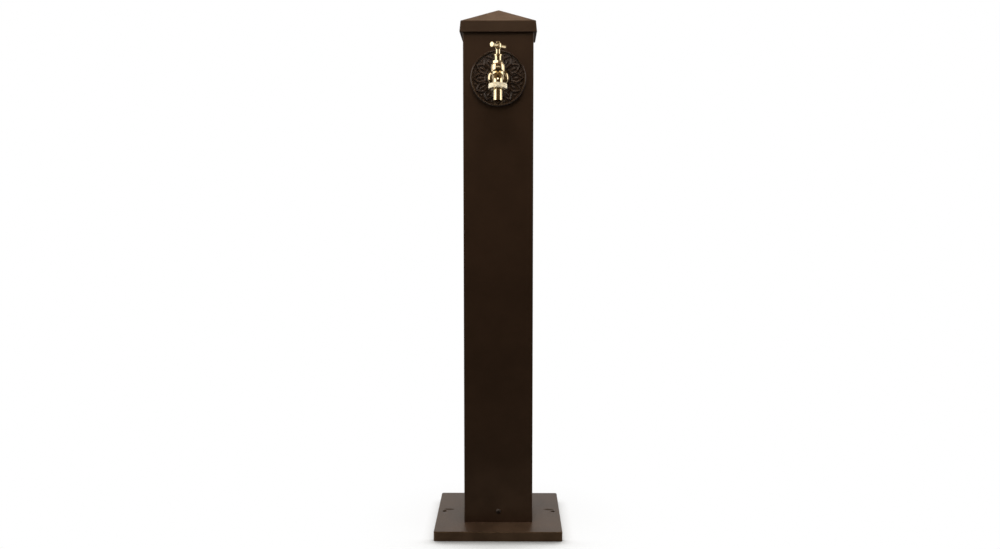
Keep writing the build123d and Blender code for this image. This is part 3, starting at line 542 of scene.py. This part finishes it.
polished_brass = brass("polished_brass", (0.89, 0.71, 0.43), 0.065, 0.3, 0.02)
# Its paler colour and lower metallic are painted light, for the light that the knurl's ribs scatter.
knurled_brass_painted_light = brass("knurled_brass_painted_light", (0.97, 0.86, 0.63), 0.16, 0.1, 0.02, 0.72)
machined_brass = brass("machined_brass", (0.80, 0.60, 0.30), 0.28, 0.5, 0.08)
copper = brass("drawn_copper", (0.80, 0.45, 0.30), 0.26, 0.7, 0.06)
print("metal finishes:", [m.name for m in (polished_brass, knurled_brass_painted_light, machined_brass, copper)])

# %% [markdown]
# ## Rubber, fibre and steel
# The small parts inside need only simple finishes, but each still has the
# unevenness that the real stuff shows: bloom on rubber, flecks in fibre, and the
# faint crystals of zinc plating.


# %% Other finishes
def plain_finish(name, colour, other, scale, roughness, metallic=0.0):
    """A finish that wanders between two colours."""
    material, tree, shader = new_material(name, Metallic=metallic)
    skin = place_group(tree, grain, Mottle_scale=scale, Fine_scale=scale * 9, Depth=0.15)
    base = mix_colours(tree, ramp(tree, skin.outputs["Mottle"], 0.3, 0.7), colour, other)
    rough = ramp(tree, skin.outputs["Fine"], 0.3, 0.7, roughness * 0.8, roughness * 1.2)
    link(tree, base, shader.inputs["Base Color"])
    link(tree, rough, shader.inputs["Roughness"])
    link(tree, skin.outputs["Normal"], shader.inputs["Normal"])
    return material


black_rubber = plain_finish("black_rubber", (0.012, 0.012, 0.012), (0.03, 0.029, 0.028), 90.0, 0.6)
red_fibre = plain_finish("red_fibre", (0.15, 0.04, 0.028), (0.20, 0.06, 0.04), 260.0, 0.8)
zinc_steel = plain_finish("zinc_steel", (0.62, 0.62, 0.60), (0.74, 0.75, 0.76), 120.0, 0.32, 1.0)
dark_screw = plain_finish("blackened_screw", (0.045, 0.034, 0.027), (0.075, 0.058, 0.045), 200.0, 0.4, 0.6)

print("materials:", len(bpy.data.materials))

# %% [markdown]
# ## Dressing the solids
# Each solid names the finish it was designed with. Three brown pieces get a coat of
# their own, because a drawn tube, a thick foot and a finely cast disc differ in
# skin, dust and gloss although all of them hang in the same booth; the tube's and the foot's coats also carry
# painted bounce light near the ground, and the disc's is darker with painted shade.
# The solids' own shapes are left as they are.

# %% Dress the carried-over solids
finishes = {
    "brown_coat": coat_on_casting,
    "polished_brass": polished_brass,
    "plain_brass": machined_brass,
    "copper": copper,
    "black_rubber": black_rubber,
    "red_fibre": red_fibre,
    "zinc_steel": zinc_steel,
    "dark_screw": dark_screw,
}
own_finish = {"post_tube": coat_on_tube, "rosette": coat_on_disc, "base_plate": coat_on_foot}
slot_of = {part["node"]: part["material_slot"] for part in frame["record"]["subparts"]}
for name, node in nodes.items():
    finish = own_finish.get(name, finishes[slot_of[name]])
    node.data.materials.clear()
    node.data.materials.append(finish)
print("finished nodes:", len(slot_of))

# %% [markdown]
# ## The cast disc
# The disc behind the tap is an iron casting with twelve pointed petals. Its relief
# is soft, as sand casting and a powder coat leave it, so it is made as a height
# above the disc: one petal's sector is a grid whose height follows a formula, and
# Geometry Nodes turn that sector round the centre as often as there are petals.
# Sampling a formula gives rounder ridges than cutting shapes out would.

# %% Sizes of the disc, from the frame
disc_low, disc_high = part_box("rosette")
disc_radius = (disc_high.x - disc_low.x) / 2 / MM
disc_height = (disc_high.y - disc_low.y) / MM
disc_centre = Vector((0, disc_high.y, (disc_low.z + disc_high.z) / 2))
petals = 12
hole_radius = 13.4
hub_radius = 21.0
hub_height = 7.2
floor_height = 4.0
rim_width = 3.2
rim_rise = 1.7
petal_root, petal_wide, petal_tip = 22.4, 33.5, 46.6
petal_gap = 0.35
half_sector = math.pi / petals
print("disc radius", round(disc_radius, 2), "height", round(disc_height, 2), "mm")


# %% Height of the relief
def petal_half_width(along):
    """Half the width of a petal at a distance from the centre, in mm."""
    if along >= petal_tip:
        return 0.0
    width = min(along, petal_wide) * math.tan(half_sector) - petal_gap
    if along <= petal_wide:
        return width
    return width * (1 - ((along - petal_wide) / (petal_tip - petal_wide)) ** 1.7)


root_steps, side_steps = 8, 90
petal_length = petal_tip - petal_root
root_half = petal_half_width(petal_root)
petal_edge = [(petal_root, root_half * step / root_steps) for step in range(root_steps + 1)]
side_places = [petal_root + petal_length * step / side_steps for step in range(side_steps + 1)]
petal_edge += [(place, petal_half_width(place)) for place in side_places]
ridge_height, ridge_inset, ridge_half_width = 2.7, 1.05, 1.1
bud_start, bud_length, bud_half_width, bud_height = 24.5, 14.2, 2.9, 1.9
bead_ring, bead_radius = 43.2, 1.9
bead_place = (bead_ring * math.cos(half_sector), bead_ring * math.sin(half_sector))


def relief(radius, angle):
    """Height above the disc's back at a place in one petal's sector, in mm."""
    x = radius * math.cos(angle)
    y = abs(radius * math.sin(angle))
    # The floor sinks a little from the hub to the rim.
    height = floor_height + 0.25 * math.cos((radius - 22) / 26 * math.pi)
    # A ridge follows the petal's border on its inner side.
    nearest = min(math.hypot(x - px, y - py) for px, py in petal_edge)
    inside = petal_root < x < petal_tip and y < petal_half_width(x)
    from_edge = -nearest if inside else nearest
    height += ridge_height * math.exp(-abs((from_edge + ridge_inset) / ridge_half_width) ** 2.4)
    # A long bud lies in each petal.
    bud_along = (x - bud_start) / bud_length
    if 0 < bud_along < 1:
        swell = math.sin(math.pi * bud_along**1.5) ** 0.8 * (0.45 + 0.55 * bud_along)
        bud_half = bud_half_width * swell
        if bud_half > 0.05 and y < bud_half:
            height += bud_height * swell**0.5 * math.sqrt(1 - (y / bud_half) ** 2)
    # A bead lies between two petals' tips.
    from_bead = math.hypot(x - bead_place[0], y - bead_place[1])
    if from_bead < bead_radius:
        height += math.sqrt(bead_radius**2 - from_bead**2) * 0.9
    return height


print("relief at a petal's border:", round(relief(petal_wide, half_sector * 0.8), 2), "mm")


# %% One sector as a mesh
def disc_profile():
    """Rings of the sector as (radius, height or None where the relief decides), in mm."""
    rings = [(hole_radius, 0.0), (hole_radius, hub_height - 0.4), (hole_radius + 0.4, hub_height)]
    rings += [(hub_radius - 0.7, hub_height), (hub_radius - 0.1, hub_height - 0.5)]
    inner = disc_radius - rim_width
    steps = 88
    rings += [(hub_radius + 0.3 + (inner - hub_radius - 0.5) * n / steps, None) for n in range(steps + 1)]
    rim_steps = 8
    rim_middle = disc_radius - rim_width / 2
    rim_low = disc_height - rim_rise
    for n in range(rim_steps + 1):
        turn = math.pi * n / rim_steps
        across = rim_middle - math.cos(turn) * rim_width / 2
        rings.append((across, rim_low + rim_rise * math.sin(turn) ** 0.8))
    rings += [(disc_radius, 0.5), (disc_radius - 0.5, 0.0)]
    return rings


def sector_mesh(name, columns=52):
    """The section swept through one petal's share of the circle, its heights from the relief."""
    rings = disc_profile()
    sector = 2 * math.pi / petals
    points, faces = [], []
    for radius, height in rings:
        for column in range(columns + 1):
            angle = sector * (column / columns - 0.5)
            z = relief(radius, angle) if height is None else height
            x, y = radius * math.cos(angle), radius * math.sin(angle)
            points.append((x * MM, y * MM, z * MM))
    width = columns + 1
    count = len(rings)
    for ring in range(count):
        upper = (ring + 1) % count
        for column in range(columns):
            here = ring * width + column
            there = upper * width + column
            faces.append((here, here + 1, there + 1, there)[::-1])
    mesh = bpy.data.meshes.new(name)
    mesh.from_pydata(points, [], faces)
    return mesh


sector = bpy.data.objects.new("disc_sector", sector_mesh("disc_sector"))
scene.collection.objects.link(sector)
print("faces in one sector:", len(sector.data.polygons))

# %% [markdown]
# The tree takes the sector as its geometry, puts a copy on each of a set of points
# at the centre, turns each copy by its index, and makes real mesh of the copies.
# Merging by distance closes the seams between them. Turning copies in a tree means
# that the number of petals stays one input, which a copied mesh would not give.


# %% Turn copies round the centre
def new_tree(name, inputs):
    """An empty Geometry Nodes tree with a mesh in, a mesh out and named number inputs."""
    tree = bpy.data.node_groups.new(name, "GeometryNodeTree")
    tree.interface.new_socket("Mesh", in_out="INPUT", socket_type="NodeSocketGeometry")
    for label, kind, value in inputs:
        socket = tree.interface.new_socket(label, in_out="INPUT", socket_type=kind)
        if value is not None:
            socket.default_value = value
    tree.interface.new_socket("Mesh", in_out="OUTPUT", socket_type="NodeSocketGeometry")
    return tree, tree.nodes.new("NodeGroupInput"), tree.nodes.new("NodeGroupOutput")


round_copies, start, end = new_tree(
    "round_copies",
    [
        ("Copies", "NodeSocketInt", 12),
        ("Ring radius", "NodeSocketFloat", 0.0),
        ("Material", "NodeSocketMaterial", None),
    ],
)
points = add_node(round_copies, "GeometryNodePoints")
index = add_node(round_copies, "GeometryNodeInputIndex")
share = math_node(round_copies, "DIVIDE", index.outputs[0], start.outputs["Copies"])
angle = math_node(round_copies, "MULTIPLY", share, 2 * math.pi)
spot = add_node(round_copies, "ShaderNodeCombineXYZ")
for operation, socket in (("COSINE", "X"), ("SINE", "Y")):
    turn = math_node(round_copies, operation, angle)
    offset = math_node(round_copies, "MULTIPLY", turn, start.outputs["Ring radius"])
    link(round_copies, offset, spot.inputs[socket])
link(round_copies, start.outputs["Copies"], points.inputs["Count"])
link(round_copies, spot.outputs[0], points.inputs["Position"])
turning = add_node(round_copies, "FunctionNodeAxisAngleToRotation", Axis=(0, 0, 1))
link(round_copies, angle, turning.inputs["Angle"])
copies = add_node(round_copies, "GeometryNodeInstanceOnPoints")
link(round_copies, points.outputs[0], copies.inputs["Points"])
link(round_copies, start.outputs["Mesh"], copies.inputs["Instance"])
link(round_copies, turning.outputs[0], copies.inputs["Rotation"])
real = add_node(round_copies, "GeometryNodeRealizeInstances")
merged = add_node(round_copies, "GeometryNodeMergeByDistance", Distance=0.00001)
painted = add_node(round_copies, "GeometryNodeSetMaterial")
link(round_copies, copies.outputs[0], real.inputs[0])
link(round_copies, real.outputs[0], merged.inputs["Geometry"])
link(round_copies, merged.outputs[0], painted.inputs["Geometry"])
link(round_copies, start.outputs["Material"], painted.inputs["Material"])
link(round_copies, painted.outputs[0], end.inputs[0])


def socket_id(tree, label):
    """The identifier of a tree's input, which a modifier needs."""
    return next(i.identifier for i in tree.interface.items_tree if i.name == label and i.in_out == "INPUT")


def run_tree(source, tree, name, **values):
    """Runs a tree on an object's mesh and gives the result as a new plain object."""
    modifier = source.modifiers.new("nodes", "NODES")
    modifier.node_group = tree
    for label, value in values.items():
        modifier[socket_id(tree, label.replace("_", " "))] = value
    bpy.context.view_layer.update()
    graph = bpy.context.evaluated_depsgraph_get()
    mesh = bpy.data.meshes.new_from_object(source.evaluated_get(graph))
    source.modifiers.remove(modifier)
    bpy.data.objects.remove(source)
    made = bpy.data.objects.new(name, mesh)
    mesh.name = name
    scene.collection.objects.link(made)
    return made


def shade(piece, angle=35.0):
    """Smooth shading, with edges sharper than an angle kept crisp."""
    mesh = piece.data
    mesh.polygons.foreach_set("use_smooth", [True] * len(mesh.polygons))
    mesh.set_sharp_from_angle(angle=math.radians(angle))
    return piece


# Local x, y and z become X, Z and -Y: the disc's face looks out of the post's front.
face_out = Matrix.Translation(disc_centre) @ Matrix.Rotation(math.radians(90), 4, "X")
disc = run_tree(sector, round_copies, "disc_relief", Copies=petals, Material=coat_on_disc)
disc.data.transform(face_out)
shade(disc, 75)
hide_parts("rosette")
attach(disc, "post")
print("disc:", len(disc.data.polygons), "faces")

# %% [markdown]
# ## The union nut
# The large nut under the spout is turned by hand, so its side is knurled: fine
# straight ribs rolled into the brass. It could be cut from a ring with as many
# grooves, but each rib is the same small rounded shape that fades out at both ends,
# so the same tree repeats it round a plain turned ring. The ribs' borders lie a
# little under the ring's surface, so that no gap shows.

# %% Sizes of the nut, from the frame
joints = {joint["name"]: joint for joint in frame["joints"]}
outlet_axis = Vector(joints["tail_draw"]["axis"]).normalized()
nut_middle = Vector(joints["nut_turn"]["pos_m"])
nut_low, nut_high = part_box("hose_nut")
nut_radius = (nut_high.x - nut_low.x) / 2
nut_height = 9.2 * MM
nut_bore = 13.27 * MM
tail_hole = 8.5 * MM
shoulder = 1.7 * MM
rib_depth = 0.5 * MM
rib_count = 72
down_outlet = Matrix.Translation(nut_middle) @ outlet_axis.to_track_quat("-Z", "Y").to_matrix().to_4x4()
print("nut radius in mm:", round(nut_radius / MM, 2), "ribs:", rib_count)


# %% Turned ring
def turned(name, outline, steps=96):
    """A closed shape turned about Z from (radius, height) points that run round its section."""
    points, faces = [], []
    count = len(outline)
    for step in range(steps):
        angle = 2 * math.pi * step / steps
        points += [(r * math.cos(angle), r * math.sin(angle), z) for r, z in outline]
    for step in range(steps):
        following = (step + 1) % steps
        for n in range(count):
            after = (n + 1) % count
            near, far = step * count, following * count
            faces.append((near + n, far + n, far + after, near + after))
    mesh = bpy.data.meshes.new(name)
    mesh.from_pydata(points, [], faces)
    shape = bmesh.new()
    shape.from_mesh(mesh)
    bmesh.ops.recalc_face_normals(shape, faces=shape.faces)
    shape.to_mesh(mesh)
    shape.free()
    return mesh


top, low = nut_height / 2, -nut_height / 2
body_radius = nut_radius - rib_depth
edge = 0.7 * MM
hole_bevel = 0.2 * MM
bore_bevel = 0.3 * MM
ring_outline = [
    (tail_hole, low + hole_bevel),
    (tail_hole + hole_bevel, low),
    (nut_radius - 2.2 * edge, low),
    (nut_radius - edge, low + 0.35 * edge),
    (body_radius, low + edge),
    (body_radius, top - edge),
    (nut_radius - edge, top - 0.35 * edge),
    (nut_radius - 2.2 * edge, top),
    (nut_bore + bore_bevel, top),
    (nut_bore, top - bore_bevel),
    (nut_bore, low + shoulder),
    (tail_hole, low + shoulder),
]
nut_ring = turned("nut_ring", ring_outline)
print("ring:", len(nut_ring.polygons), "faces")

# %% One rib, and its copies
rib_half = math.pi * body_radius / rib_count
rib_sunk = 0.04 * MM
rib_steps = 10
rib_tiers = [(low + (1 + rise) * edge, share) for rise, share in ((0, 0.0), (0.5, 0.9), (1, 1.0))]
rib_tiers += [(-z, share) for z, share in reversed(rib_tiers)]
rib_points = []
for z, share in rib_tiers:
    for step in range(rib_steps + 1):
        turn = math.pi * step / rib_steps
        out = (rib_depth + rib_sunk) * math.sin(turn) * share - rib_sunk
        rib_points.append((body_radius + out, -rib_half * math.cos(turn), z))
row = rib_steps + 1
rib_faces = []
for tier in range(len(rib_tiers) - 1):
    for step in range(rib_steps):
        here = tier * row + step
        rib_faces.append((here, here + 1, here + row + 1, here + row))
rib = bpy.data.meshes.new("rib")
rib.from_pydata(rib_points, [], rib_faces)
rib_object = bpy.data.objects.new("rib", rib)
scene.collection.objects.link(rib_object)
ribs = run_tree(rib_object, round_copies, "nut_ribs", Copies=rib_count, Material=knurled_brass_painted_light)
print("ribs:", len(ribs.data.polygons), "faces")


# %% Ring and ribs as one piece
def join(name, meshes, material):
    """One object from several meshes."""
    shape = bmesh.new()
    for mesh in meshes:
        shape.from_mesh(mesh)
    mesh = bpy.data.meshes.new(name)
    shape.to_mesh(mesh)
    shape.free()
    mesh.materials.clear()
    mesh.materials.append(material)
    piece = bpy.data.objects.new(name, mesh)
    scene.collection.objects.link(piece)
    return piece


nut = join("knurled_nut", [nut_ring, ribs.data], knurled_brass_painted_light)
bpy.data.objects.remove(ribs)
nut.data.transform(down_outlet)
shade(nut, 30)
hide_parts("hose_nut")
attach(nut, "hose_nut")
print("nut:", len(nut.data.polygons), "faces")
